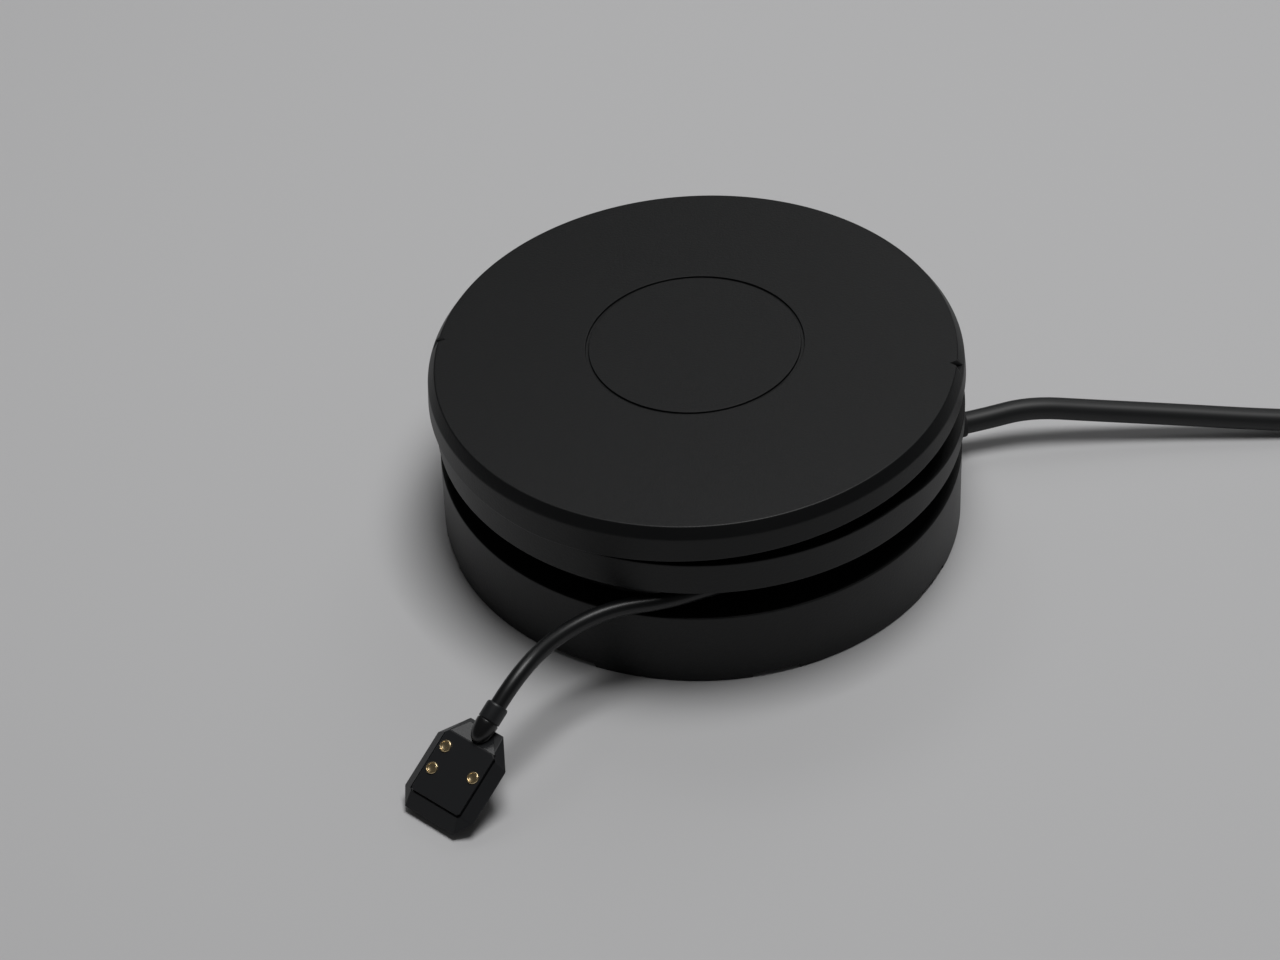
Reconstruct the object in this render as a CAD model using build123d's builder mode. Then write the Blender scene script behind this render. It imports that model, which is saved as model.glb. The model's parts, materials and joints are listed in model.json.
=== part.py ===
"""Power puck with a wound magnetic lead and a supply cable. Sizes in mm, +Z up."""
import os

from build123d import *

# ---- storeys -----------------------------------------------------------------
base_radius = 57.5
base_height = 18.4
groove_height = 7.5
groove_depth = 11.1
tray_overhang = 0.4
tray_height = 8.1
wall = 2.4
deck = 2.4
running_fit = 0.05
seat_gap = 0.3
edge_fillet = 0.35
tray_radius = base_radius + tray_overhang
hub_radius = base_radius - groove_depth
groove_floor = base_height
tray_bottom = base_height + groove_height
ring_top = tray_bottom + tray_height
inner_radius = base_radius - wall
hub_bore = hub_radius - wall

# ---- base details ------------------------------------------------------------
notch_count = 8
notch_start = -119.8
notch_width = 10.5
notch_height = 0.9
plate_bottom = 1.2
plate_thickness = 2.0
plate_top = plate_bottom + plate_thickness
screw_count = 4
boss_radius = 3.4
boss_ring = inner_radius - boss_radius - 1.1
screw_radius = 1.5
screw_depth = 9.0
head_radius = 2.6
head_height = 1.0
head_recess = 1.2
base_screw_angle = 60.0
tray_boss_radius = 3.6
tray_screw_ring = hub_bore - tray_boss_radius + 0.2
tray_screw_angle = 20.0
cross_length = 2.8
cross_width = 0.6
pad_radius = 6.0
pad_ring = base_radius - 17.5
centre_pad_radius = 9.0
ballast_radius = base_radius - 18.0
ballast_bore = 10.0
ballast_thickness = 3.0

# ---- board and parts on it ---------------------------------------------------
board_radius = base_radius - 13.0
board_gap = 3.8
board_bottom = plate_top + ballast_thickness + board_gap
board_thickness = 1.6
board_top = board_bottom + board_thickness
spacer_ring = ballast_radius - 6.5
spacer_radius = 2.8
part_step = board_radius / 4
transformer_core = (20.0, 17.0, 11.5)
transformer_coil = (23.0, 12.0, 6.5)
transformer_lift = 2.5
inductor_radius = 8.0
inductor_bore = 3.2
inductor_height = 7.0
capacitor_radius = 4.0
capacitor_height = 11.0
chip_side = 7.0
chip_height = 1.2
terminal_depth = 7.0
terminal_width = 9.0

# ---- tray and lid ------------------------------------------------------------
tray_floor = 2.2
ring_width = 3.5
spigot_radius = tray_radius - ring_width
spigot_wall = 2.0
spigot_height = 3.2
scallop_radius = 185.0
scallop_depth = 3.5
scallop_angle = -5.0
lid_overhang = 1.0
lid_draft = 0.55
lid_bevel = 1.55
lid_skirt_radius = tray_radius + lid_overhang
lid_shoulder_radius = lid_skirt_radius - lid_draft
lid_top_radius = lid_shoulder_radius - lid_bevel
lid_chamfer = 2.4
lid_wall = 2.2
lid_top_wall = 2.2
lid_draw = 10.5
lid_stand = 9.2
lid_height = ring_top + lid_stand
lid_shift = -0.85
lid_rise_x = 0.0308
lid_rise_y = -0.0162
slot_stand = 1.9
slot_height = ring_top + slot_stand
slot_rise_x = 0.0523
slot_rise_y = -0.0054
rim_notch_angles = (170.5, -7.7)
rim_notch_width = 2.4
rim_notch_reach = 1.9
rim_notch_depth = 1.9
ring_groove_radius = 23.2
ring_groove_width = 0.6
ring_groove_depth = 0.3
ring_groove_shift = 3.3

# ---- supply cable ------------------------------------------------------------
supply_diameter = 5.0
exit_angle = 15.2
exit_height = plate_top + 4.0
grommet_radius = 3.2
grommet_flange = 3.75
grommet_lip = 1.4
grommet_nose = 4.0
clamp_inner = base_radius - 9.5
clamp_outer = base_radius - 5.0
clamp_width = 10.0
clamp_cover = 1.6
cable_start = base_radius - 12.5
header_width = 9.0
coil_gap = 92.0
coil_lift = 4
coil_outer = 30.0
coil_x = base_radius + coil_gap + coil_outer + supply_diameter / 2
coil_y = -11.4
tail_run = 58.0
tail_drop = 26.0
relief_gap = 14.0

# ---- thin lead ---------------------------------------------------------------
lead_diameter = 3.6
winding_inner = hub_radius + lead_diameter
winding_outer = winding_inner + lead_diameter + 0.1
winding_end = -75.0
winding_sweep = 310.0
winding_level = tray_bottom - lead_diameter / 2 - seat_gap
lead_level = winding_level - lead_diameter / 2
lead_grommet_radius = 1.9
lead_run = 10.0

# ---- contact head (local: x along the lead, z away from the contacts' back) --
head_origin = (-51.9, -base_radius - 33.3, 7.6)
head_along = (-0.5444, -0.6442, -0.5373)
head_normal = (-0.3468, -0.4104, 0.8434)
head_length = 22.8
head_width = 18.8
cord_cut = (6.1, 4.9)
far_cut = (3.8, 2.7)
back_depth = 2.7
back_inset = 1.5
face_height = 2.3
face_step = 0.45
face_start = 5.2
face_end = 3.8
face_width = 13.1
cup_radius = 1.35
cup_rim = 0.35
cup_depth = 0.75
cup_spots = ((7.9, -4.7), (13.2, -4.7), (10.7, 4.8))
nose_side = 0.75
nose_height = 2.25
sleeve_gap = 4.9
sleeve_length = 3.9
sleeve_cord_radius = 2.35
sleeve_seam_radius = 2.15
nose_radius = 2.2
nose_tip_radius = 0.35
nose_length = 5.8

os.makedirs("parts", exist_ok=True)


def polar(radius, angle, height=0.0):
    """Point at a radius and an angle about the vertical axis."""
    return Vector(radius, 0, height).rotate(Axis.Z, angle)


def save(builder, name):
    """Label one finished piece and write it."""
    builder.part.label = name
    export_step(builder.part, os.path.join("parts", name + ".step"))


def posts(ring, count, start, radius, bottom, height, mode=Mode.ADD):
    """A ring of equal upright cylinders in the piece being built."""
    with BuildSketch(Plane.XY.offset(bottom)) as section:
        with PolarLocations(ring, count, start_angle=start):
            Circle(radius)
    extrude(section.sketch, amount=height, mode=mode)


def turned(points):
    """Turn a closed radius/height outline about the vertical axis."""
    with BuildSketch(Plane.XZ) as section:
        with BuildLine():
            Polyline(*points, close=True)
        make_face()
    revolve(section.sketch, axis=Axis.Z)


def cord(points, diameter):
    """Round cord along a path of straight runs joined by tangent arcs."""
    path = [Vector(*point) for point in points]
    radii = []
    for before, corner, after in zip(path, path[1:], path[2:]):
        arriving = corner - before
        leaving = after - corner
        turn = arriving.get_angle(leaving)
        half = Vector(1, 0).rotate(Axis.Z, turn / 2)
        shorter = min(arriving.length, leaving.length)
        radii.append(0.45 * shorter * half.X / half.Y)
    print("bend radii", [round(radius, 1) for radius in radii])
    with BuildLine() as route:
        FilletPolyline(*path, radius=radii)
    with BuildSketch(Plane(origin=path[0], z_dir=path[1] - path[0])) as section:
        Circle(diameter / 2)
    sweep(sections=section.sketch, path=route.wires()[0])
    print("cord length", round(route.wires()[0].length, 1))


# ---- base shell --------------------------------------------------------------
exit_plane = Plane(
    origin=polar(inner_radius - wall, exit_angle, exit_height),
    z_dir=polar(1, exit_angle),
)

with BuildPart() as base_shell:
    turned([
        (base_radius, 0),
        (base_radius, base_height),
        (hub_radius, base_height),
        (hub_radius, tray_bottom),
        (hub_bore, tray_bottom),
        (hub_bore, base_height - deck),
        (inner_radius, base_height - deck),
        (inner_radius, 0),
    ])
    outer_edges = base_shell.edges().filter_by(
        lambda edge: edge.geom_type == GeomType.CIRCLE
        and abs(edge.radius - base_radius) < 0.01
    )
    fillet(outer_edges, edge_fillet)
    posts(boss_ring, screw_count, base_screw_angle, boss_radius, plate_top,
          base_height - deck - plate_top + 0.5)
    posts(boss_ring, screw_count, base_screw_angle, screw_radius + running_fit,
          plate_top, screw_depth, Mode.SUBTRACT)
    posts(tray_screw_ring, screw_count, tray_screw_angle, tray_boss_radius,
          base_height, groove_height)
    posts(tray_screw_ring, screw_count, tray_screw_angle,
          screw_radius + running_fit, base_height, groove_height, Mode.SUBTRACT)
    with BuildSketch(Plane.XY):
        with PolarLocations(base_radius, notch_count, start_angle=notch_start):
            Rectangle(3 * wall, notch_width)
    extrude(amount=notch_height, mode=Mode.SUBTRACT)
    with BuildSketch(exit_plane):
        Circle(grommet_radius)
    extrude(amount=3 * wall, mode=Mode.SUBTRACT)
    with BuildSketch(Plane(origin=(-hub_bore + wall, 0, winding_level), z_dir=(-1, 0, 0))):
        Circle(lead_grommet_radius)
    extrude(amount=3 * wall, mode=Mode.SUBTRACT)
save(base_shell, "base_shell")

# ---- base plate, pads, screws, ballast ---------------------------------------
with BuildPart() as base_plate:
    with BuildSketch(Plane.XY.offset(plate_bottom)):
        Circle(inner_radius - 0.1)
        with PolarLocations(boss_ring, screw_count, start_angle=base_screw_angle):
            Circle(screw_radius + running_fit, mode=Mode.SUBTRACT)
    extrude(amount=plate_thickness)
    posts(boss_ring, screw_count, base_screw_angle, head_radius + 0.2,
          plate_bottom, head_recess, Mode.SUBTRACT)
save(base_plate, "base_plate")

with BuildPart() as base_pads:
    posts(pad_ring, 4, 45, pad_radius, 0, plate_bottom)
    posts(0, 1, 0, centre_pad_radius, 0, plate_bottom)
save(base_pads, "base_pads")

with BuildPart() as base_screws:
    seat = plate_bottom + head_recess
    posts(boss_ring, screw_count, base_screw_angle, head_radius,
          seat - head_height, head_height)
    posts(boss_ring, screw_count, base_screw_angle, screw_radius, seat, screw_depth)
    with BuildSketch(Plane.XY.offset(seat - head_height)):
        with PolarLocations(boss_ring, screw_count, start_angle=base_screw_angle):
            Rectangle(cross_length, cross_width)
            Rectangle(cross_width, cross_length)
    extrude(amount=cross_width, mode=Mode.SUBTRACT)
save(base_screws, "base_screws")

with BuildPart() as ballast_plate:
    with BuildSketch(Plane.XY.offset(plate_top)):
        Circle(ballast_radius)
        Circle(ballast_bore, mode=Mode.SUBTRACT)
    extrude(amount=ballast_thickness)
save(ballast_plate, "ballast_plate")

# ---- board and what stands on it ---------------------------------------------
ballast_top = plate_top + ballast_thickness

with BuildPart() as board_spacers:
    with BuildSketch(Plane.XY.offset(ballast_top)):
        with PolarLocations(spacer_ring, 4, start_angle=45):
            RegularPolygon(spacer_radius, 6)
    extrude(amount=board_bottom - ballast_top)
save(board_spacers, "board_spacers")

with BuildPart() as main_board:
    with BuildSketch(Plane.XY.offset(board_bottom)):
        Circle(board_radius)
    extrude(amount=board_thickness)
save(main_board, "main_board")

with BuildPart() as transformer:
    for size, lift in ((transformer_core, 0), (transformer_coil, transformer_lift)):
        with BuildSketch(Plane.XY.offset(board_top + lift)):
            with Locations((1.3 * part_step, 1.3 * part_step)):
                RectangleRounded(size[0], size[1], size[1] / 12)
        extrude(amount=size[2])
save(transformer, "transformer")

with BuildPart() as inductor:
    with BuildSketch(Plane.XY.offset(board_top)):
        with Locations((1.4 * part_step, -1.4 * part_step)):
            Circle(inductor_radius)
            Circle(inductor_bore, mode=Mode.SUBTRACT)
    extrude(amount=inductor_height)
    fillet(inductor.edges().filter_by(GeomType.CIRCLE), inductor_height / 5)
save(inductor, "inductor")

with BuildPart() as capacitors:
    with BuildSketch(Plane.XY.offset(board_top)):
        with Locations((-part_step, -1.6 * part_step), (-2 * part_step, -part_step),
                       (-0.5 * part_step, -2.6 * part_step)):
            Circle(capacitor_radius)
    extrude(amount=capacitor_height)
    top_rims = capacitors.faces().filter_by(Axis.Z).group_by(Axis.Z)[-1].edges()
    fillet(top_rims, capacitor_radius / 6)
save(capacitors, "capacitors")

with BuildPart() as controller_chips:
    with BuildSketch(Plane.XY.offset(board_top)):
        with Locations((-1.2 * part_step, part_step), (-2.1 * part_step, 1.8 * part_step),
                       (-0.9 * part_step, 2.3 * part_step)):
            Rectangle(chip_side, chip_side)
    extrude(amount=chip_height)
save(controller_chips, "controller_chips")

with BuildPart() as lead_terminal:
    with BuildSketch(Plane.XY.offset(board_top)):
        with Locations((-hub_bore + terminal_depth / 2 + 0.3, 0)):
            Rectangle(terminal_depth, terminal_width)
    extrude(amount=winding_level + lead_grommet_radius / 2 - board_top)
save(lead_terminal, "lead_terminal")

# ---- supply cable: header, clamp, grommet, tube ------------------------------
header_mid = (ballast_radius + cable_start) / 2 + 0.25
header_plane = Plane(origin=polar(header_mid, exit_angle, plate_top),
                     x_dir=polar(1, exit_angle), z_dir=(0, 0, 1))
with BuildPart() as supply_header:
    with BuildSketch(header_plane):
        Rectangle(cable_start - ballast_radius - 0.5, header_width)
    extrude(amount=board_bottom - plate_top)
save(supply_header, "supply_header")

clamp_plane = Plane(origin=polar((clamp_inner + clamp_outer) / 2, exit_angle, plate_top),
                    x_dir=polar(1, exit_angle), z_dir=(0, 0, 1))
bore_plane = Plane(origin=polar(clamp_inner - 1, exit_angle, exit_height),
                   z_dir=polar(1, exit_angle))
with BuildPart() as supply_clamp:
    with BuildSketch(clamp_plane):
        Rectangle(clamp_outer - clamp_inner, clamp_width)
    extrude(amount=exit_height - plate_top + supply_diameter / 2 + clamp_cover)
    fillet(supply_clamp.edges().group_by(Axis.Z)[-1], clamp_cover / 2)
    with BuildSketch(bore_plane):
        Circle(supply_diameter / 2 + running_fit)
    extrude(amount=clamp_outer - clamp_inner + 2, mode=Mode.SUBTRACT)
save(supply_clamp, "supply_clamp")

with BuildPart() as supply_grommet:
    flange_in = polar(inner_radius - 0.15, exit_angle, exit_height)
    flange_out = polar(base_radius, exit_angle, exit_height)
    outward = polar(1, exit_angle)
    with BuildSketch(Plane(origin=flange_in - outward * grommet_lip, z_dir=outward)):
        Circle(grommet_flange)
    extrude(amount=grommet_lip)
    with BuildSketch(Plane(origin=flange_in, z_dir=outward)):
        Circle(grommet_radius)
    extrude(amount=wall + 0.15)
    with BuildSketch(Plane(origin=flange_out, z_dir=outward)):
        Circle(grommet_flange)
    with BuildSketch(Plane(origin=flange_out + outward * grommet_nose, z_dir=outward)):
        Circle(supply_diameter / 2 + 0.45)
    loft()
    with BuildSketch(Plane(origin=flange_in - outward * 3, z_dir=outward)):
        Circle(supply_diameter / 2 + running_fit)
    extrude(amount=wall + grommet_nose + 6, mode=Mode.SUBTRACT)
save(supply_grommet, "supply_grommet")

coil_end_y = coil_y + coil_outer
table_level = supply_diameter / 2
supply_route = [
    tuple(polar(cable_start, exit_angle, exit_height)),
    tuple(polar(base_radius + 8.0, exit_angle, exit_height)),
    (base_radius + 0.18 * coil_gap, 19.2, 8.9),
    (base_radius + 0.33 * coil_gap, 19.6, 7.1),
    (base_radius + 0.54 * coil_gap, 19.5, 5.3),
    (base_radius + 0.78 * coil_gap, 18.8, 3.5),
    (base_radius + 1.02 * coil_gap, coil_end_y, table_level),
    (coil_x, coil_end_y, table_level),
]
with BuildPart() as supply_cable:
    cord(supply_route, supply_diameter)
save(supply_cable, "supply_cable")

# ---- rest of the supply cable: coil, short end and plug ----------------------
coil_height = coil_lift * supply_diameter
coil_in = coil_outer - 1.5 * supply_diameter
coil_out = coil_outer + 0.5 * supply_diameter
tail_level = coil_height - table_level
with BuildPart() as supply_coil:
    with BuildSketch(Plane.XY):
        with Locations((coil_x, coil_y)):
            Circle(coil_out)
            Circle(coil_in, mode=Mode.SUBTRACT)
    extrude(amount=coil_height)
    fillet(supply_coil.edges().filter_by(GeomType.CIRCLE), 1.6)
    with Locations((coil_x - 20, coil_end_y + 5 - table_level - running_fit, table_level)):
        Box(40, 10, supply_diameter + 2 * running_fit, mode=Mode.SUBTRACT)
    with Locations((coil_x + coil_outer + 5 - table_level - running_fit,
                    coil_y - 20, tail_level)):
        Box(10, 40, supply_diameter + 2 * running_fit, mode=Mode.SUBTRACT)
save(supply_coil, "supply_coil")

tail_x = coil_x + coil_outer
plug_y = coil_y - tail_run - relief_gap
plug_level = 5.0
tail_route = [
    (tail_x, coil_y, tail_level),
    (tail_x, coil_y - tail_drop, tail_level),
    (tail_x + 1, coil_y - (tail_drop + tail_run) / 2, (tail_level + plug_level) / 2),
    (tail_x, coil_y - tail_run, plug_level),
    (tail_x, plug_y, plug_level),
]
with BuildPart() as supply_tail:
    cord(tail_route, supply_diameter)
save(supply_tail, "supply_tail")

relief_length = 9.0
plug_length = 22.0
plug_width = 14.0
shell_length = 7.0
shell_width = 8.4
shell_height = 2.6
shell_wall = 0.4
plug_back = plug_y - relief_length
with BuildPart() as plug_relief:
    with BuildSketch(Plane(origin=(tail_x, plug_y, plug_level), z_dir=(0, -1, 0))):
        Circle(table_level + 0.5)
    with BuildSketch(Plane(origin=(tail_x, plug_back, plug_level), z_dir=(0, -1, 0))):
        Circle(table_level + 1.3)
    loft()
save(plug_relief, "plug_relief")

plug_plane = Plane(origin=(tail_x, plug_back, plug_level), x_dir=(1, 0, 0), z_dir=(0, -1, 0))
with BuildPart() as plug_body:
    with BuildSketch(plug_plane):
        RectangleRounded(plug_width, 2 * plug_level, plug_level / 2)
    extrude(amount=plug_length)
    fillet(plug_body.edges().group_by(Axis.Y)[0], 0.8)
save(plug_body, "plug_body")

with BuildPart() as plug_shell:
    with BuildSketch(plug_plane.offset(plug_length)):
        RectangleRounded(shell_width, shell_height, 0.48 * shell_height)
    extrude(amount=shell_length)
    with BuildSketch(plug_plane.offset(plug_length + 2 * shell_wall)):
        RectangleRounded(shell_width - 2 * shell_wall, shell_height - 2 * shell_wall,
                         0.48 * shell_height - shell_wall)
    extrude(amount=shell_length, mode=Mode.SUBTRACT)
save(plug_shell, "plug_shell")

# ---- upper tray --------------------------------------------------------------
scallop_top = ring_top - scallop_depth + scallop_radius
with BuildPart() as scallop_cut:
    with BuildSketch(Plane.XY.offset(tray_bottom + tray_floor)):
        Circle(base_radius + 5)
        Circle(spigot_radius, mode=Mode.SUBTRACT)
    extrude(amount=3 * tray_height)
    cut_plane = Plane(origin=(0, 0, scallop_top), z_dir=polar(1, scallop_angle))
    with BuildSketch(cut_plane) as disc:
        Circle(scallop_radius)
    extrude(disc.sketch, amount=2 * base_radius, mode=Mode.INTERSECT)

with BuildPart() as upper_tray:
    turned([
        (0, tray_bottom),
        (tray_radius, tray_bottom),
        (tray_radius, ring_top),
        (spigot_radius, ring_top),
        (spigot_radius, ring_top + spigot_height),
        (spigot_radius - spigot_wall, ring_top + spigot_height),
        (spigot_radius - spigot_wall, tray_bottom + tray_floor),
        (0, tray_bottom + tray_floor),
    ])
    ring_edges = upper_tray.edges().filter_by(
        lambda edge: edge.geom_type == GeomType.CIRCLE
        and abs(edge.radius - tray_radius) < 0.01
    )
    fillet(ring_edges, edge_fillet)
    add(scallop_cut.part, mode=Mode.SUBTRACT)
    posts(tray_screw_ring, screw_count, tray_screw_angle,
          screw_radius + running_fit, tray_bottom, tray_floor, Mode.SUBTRACT)
    posts(tray_screw_ring, screw_count, tray_screw_angle, head_radius + 0.2,
          tray_bottom + tray_floor - head_recess, head_recess, Mode.SUBTRACT)
save(upper_tray, "upper_tray")

with BuildPart() as tray_screws:
    tray_seat = tray_bottom + tray_floor - head_recess
    posts(tray_screw_ring, screw_count, tray_screw_angle, head_radius,
          tray_seat, head_height)
    posts(tray_screw_ring, screw_count, tray_screw_angle, screw_radius,
          base_height + 0.5, tray_seat - base_height - 0.5)
    with BuildSketch(Plane.XY.offset(tray_seat + head_height - 0.6)):
        with PolarLocations(tray_screw_ring, screw_count, start_angle=tray_screw_angle):
            Rectangle(cross_length, cross_width)
            Rectangle(cross_width, cross_length)
    extrude(amount=cross_width, mode=Mode.SUBTRACT)
save(tray_screws, "tray_screws")

# ---- lid: turned cap, its skirt trimmed by a seat and by a rising slot ---------
lid_up = Vector(-lid_rise_x, -lid_rise_y, 1)
slot_up = Vector(-slot_rise_x, -slot_rise_y, 1)
seat_plane = Plane(origin=(0, 0, ring_top + seat_gap), z_dir=(0, 0, -1))
slot_plane = Plane(origin=(0, 0, slot_height), z_dir=-slot_up)

with BuildPart() as lid_cap:
    turned([
        (0, 0),
        (lid_top_radius, 0),
        (lid_shoulder_radius, -lid_chamfer),
        (lid_skirt_radius, -lid_draw),
        (lid_skirt_radius - lid_wall, -lid_draw),
        (lid_shoulder_radius - lid_wall, -lid_chamfer),
        (lid_shoulder_radius - lid_wall - 0.6, -lid_top_wall),
        (0, -lid_top_wall),
    ])
    fillet(lid_cap.edges().filter_by(
        lambda edge: edge.geom_type == GeomType.CIRCLE
        and abs(edge.radius - lid_shoulder_radius) < 0.01
    ), edge_fillet)
    fillet(lid_cap.edges().filter_by(
        lambda edge: edge.geom_type == GeomType.CIRCLE
        and abs(edge.radius - lid_top_radius) < 0.01
    ), edge_fillet)
    with BuildSketch(Plane.XY):
        with Locations((0, ring_groove_shift)):
            Circle(ring_groove_radius + ring_groove_width)
            Circle(ring_groove_radius, mode=Mode.SUBTRACT)
    extrude(amount=-ring_groove_depth, mode=Mode.SUBTRACT)
    with BuildSketch(Plane.XY):
        for notch_angle in rim_notch_angles:
            with PolarLocations(lid_top_radius, 1, start_angle=notch_angle):
                Polygon((-rim_notch_reach, 0), (rim_notch_reach, -rim_notch_width),
                        (rim_notch_reach, rim_notch_width), align=None)
    extrude(amount=-rim_notch_depth, mode=Mode.SUBTRACT)

lid_place = Plane(origin=(lid_shift, 0, lid_height + lid_rise_x * lid_shift),
                  x_dir=(1, 0, lid_rise_x), z_dir=lid_up)
with BuildPart() as lid:
    add(lid_place.location * lid_cap.part)
    for trim in (seat_plane, slot_plane):
        with BuildSketch(trim) as sheet:
            Rectangle(4 * base_radius, 4 * base_radius)
        extrude(sheet.sketch, amount=20, mode=Mode.SUBTRACT)
save(lid, "lid")

# ---- thin lead: winding, grommet, free end -----------------------------------
with BuildPart() as lead_grommet:
    with BuildSketch(Plane.XY.offset(winding_level - lead_diameter)):
        Circle(hub_radius)
        Circle(hub_bore, mode=Mode.SUBTRACT)
    extrude(amount=2 * lead_diameter)
    with BuildSketch(Plane(origin=(-hub_bore + wall, 0, winding_level),
                           z_dir=(-1, 0, 0))) as plug_disc:
        Circle(lead_grommet_radius)
    extrude(plug_disc.sketch, amount=3 * wall, mode=Mode.INTERSECT)
save(lead_grommet, "lead_grommet")

with BuildPart() as lead_winding:
    with BuildSketch(Plane.XY.offset(groove_floor)):
        Circle(winding_inner)
        Circle(hub_radius, mode=Mode.SUBTRACT)
    extrude(amount=2 * lead_diameter)
    side_plane = Plane(origin=(0, 0, 0), x_dir=polar(1, winding_end),
                       z_dir=polar(1, winding_end - 90))
    with BuildSketch(side_plane) as strand:
        with Locations(((winding_inner + winding_outer) / 2, winding_level)):
            Rectangle(winding_outer - winding_inner, lead_diameter + 2 * running_fit)
    revolve(strand.sketch, axis=Axis.Z, revolution_arc=winding_sweep)
save(lead_winding, "lead_winding")

head_frame = Plane(origin=head_origin, x_dir=head_along, z_dir=head_normal)


def on_head(along, across, up):
    """World point of a place on the contact head."""
    return head_frame.from_local_coords(Vector(along, across, up))


cord_end = -head_length / 2
far_end = head_length / 2
sleeve_start = on_head(cord_end - sleeve_gap, nose_side, nose_height)
sleeve_before = on_head(cord_end - sleeve_gap - 8.0, nose_side, nose_height)
lead_begin = polar((winding_inner + winding_outer) / 2, winding_end, winding_level)
lead_route = [
    tuple(lead_begin),
    tuple(lead_begin + polar(lead_run, winding_end - 90)),
    (-8.0, 1.6 - base_radius, lead_level + 0.3),
    (-20.0, -base_radius, lead_level + 0.1),
    (-31.0, -base_radius - 7.4, lead_level - 0.1),
    tuple(sleeve_before),
    tuple(sleeve_start),
]
with BuildPart() as lead_tube:
    cord(lead_route, lead_diameter)
save(lead_tube, "lead_tube")

# ---- contact head ------------------------------------------------------------
seam = on_head(cord_end - sleeve_gap + sleeve_length, nose_side, nose_height)
head_axis = Vector(*head_along)
with BuildPart() as lead_sleeve:
    with BuildSketch(Plane(origin=sleeve_start, z_dir=head_axis)):
        Circle(sleeve_cord_radius)
    with BuildSketch(Plane(origin=seam, z_dir=head_axis)):
        Circle(sleeve_seam_radius)
    loft()
save(lead_sleeve, "lead_sleeve")

seam_frame = Plane(origin=seam, x_dir=head_normal, z_dir=head_axis)
with BuildPart() as nose_blank:
    with BuildSketch(Plane.XZ) as bullet:
        with BuildLine():
            Line((0, 0), (nose_radius, 0))
            Spline((nose_radius, 0), (nose_radius * 0.84, nose_length * 0.54),
                   (nose_tip_radius, nose_length),
                   tangents=((0, 1), (-1, 0.1)))
            Line((nose_tip_radius, nose_length), (0, nose_length))
            Line((0, nose_length), (0, 0))
        make_face()
    revolve(bullet.sketch, axis=Axis.Z)
with BuildPart() as head_nose:
    add(seam_frame.location * nose_blank.part)
save(head_nose, "head_nose")


def eight_sided(start, end, width, near, far):
    """Closed outline of an oblong with its four corners cut."""
    half = width / 2
    return [
        (start, half - near[1]), (start + near[0], half),
        (end - far[0], half), (end, half - far[1]),
        (end, far[1] - half), (end - far[0], -half),
        (start + near[0], -half), (start, near[1] - half),
    ]


def outline(height, points):
    """Face bounded by the points, at a height above the head's frame."""
    with BuildSketch(head_frame.offset(height)) as section:
        with BuildLine():
            Polyline(*points, close=True)
        make_face()
    return section.sketch


widest = eight_sided(cord_end, far_end, head_width, cord_cut, far_cut)
back = eight_sided(cord_end + back_inset, far_end - back_inset,
                   head_width - 2 * back_inset, cord_cut, far_cut)
face = eight_sided(cord_end + face_start, far_end - face_end, face_width,
                   (0.5, 0.5), (0.5, 0.5))
board_pocket = eight_sided(-5.5, 6.0, 11.6, (0.5, 0.5), (0.5, 0.5))
board_depth = 0.8

with BuildPart() as head_top:
    loft([outline(0, widest), outline(face_height - face_step, face)], ruled=True)
    extrude(outline(face_height - face_step, face), amount=face_step)
    extrude(outline(0, board_pocket), amount=board_depth, mode=Mode.SUBTRACT)
    with BuildSketch(head_frame.offset(board_depth)) as cup_holes:
        with Locations([(cord_end + along, across) for along, across in cup_spots]):
            Circle(cup_radius)
    extrude(cup_holes.sketch, amount=face_height, mode=Mode.SUBTRACT)
    add(head_nose.part, mode=Mode.SUBTRACT)
save(head_top, "head_top")

with BuildPart() as head_base:
    loft([outline(-back_depth, back), outline(0, widest)], ruled=True)
    with BuildSketch(head_frame) as magnet_holes:
        with Locations((1.0, 4.4), (1.0, -4.4)):
            Circle(2.5)
    extrude(magnet_holes.sketch, amount=-1.6, mode=Mode.SUBTRACT)
save(head_base, "head_base")

with BuildPart() as head_magnets:
    extrude(magnet_holes.sketch, amount=-1.6)
save(head_magnets, "head_magnets")

with BuildPart() as head_board:
    extrude(outline(0, board_pocket), amount=board_depth)
save(head_board, "head_board")

cup_top = face_height + 0.2
with BuildPart() as head_cups:
    extrude(cup_holes.sketch, amount=cup_top - board_depth)
    with BuildSketch(head_frame.offset(cup_top)) as cup_mouths:
        with Locations([(cord_end + along, across) for along, across in cup_spots]):
            Circle(cup_radius - cup_rim)
    extrude(cup_mouths.sketch, amount=-cup_depth, taper=35, mode=Mode.SUBTRACT)
save(head_cups, "head_cups")
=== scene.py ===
"""Matte black power puck with a wound magnetic lead, dressed in its CAD frame."""

import json
import math

import bmesh
import bpy
from mathutils import Matrix, Vector


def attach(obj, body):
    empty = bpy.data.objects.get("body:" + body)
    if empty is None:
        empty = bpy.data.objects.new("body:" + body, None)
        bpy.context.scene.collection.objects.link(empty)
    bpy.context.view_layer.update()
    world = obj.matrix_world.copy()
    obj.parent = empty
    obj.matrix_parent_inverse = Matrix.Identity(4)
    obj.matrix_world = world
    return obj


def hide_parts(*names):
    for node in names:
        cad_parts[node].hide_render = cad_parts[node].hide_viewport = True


bl_info = {
    "name": "Power Puck",
    "version": (1, 0, 0),
    "blender": (4, 5, 0),
    "location": "View3D > Sidebar > Puck",
    "description": "Builds a power puck with a wound magnetic lead and its stage",
    "category": "Add Mesh",
}

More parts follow.
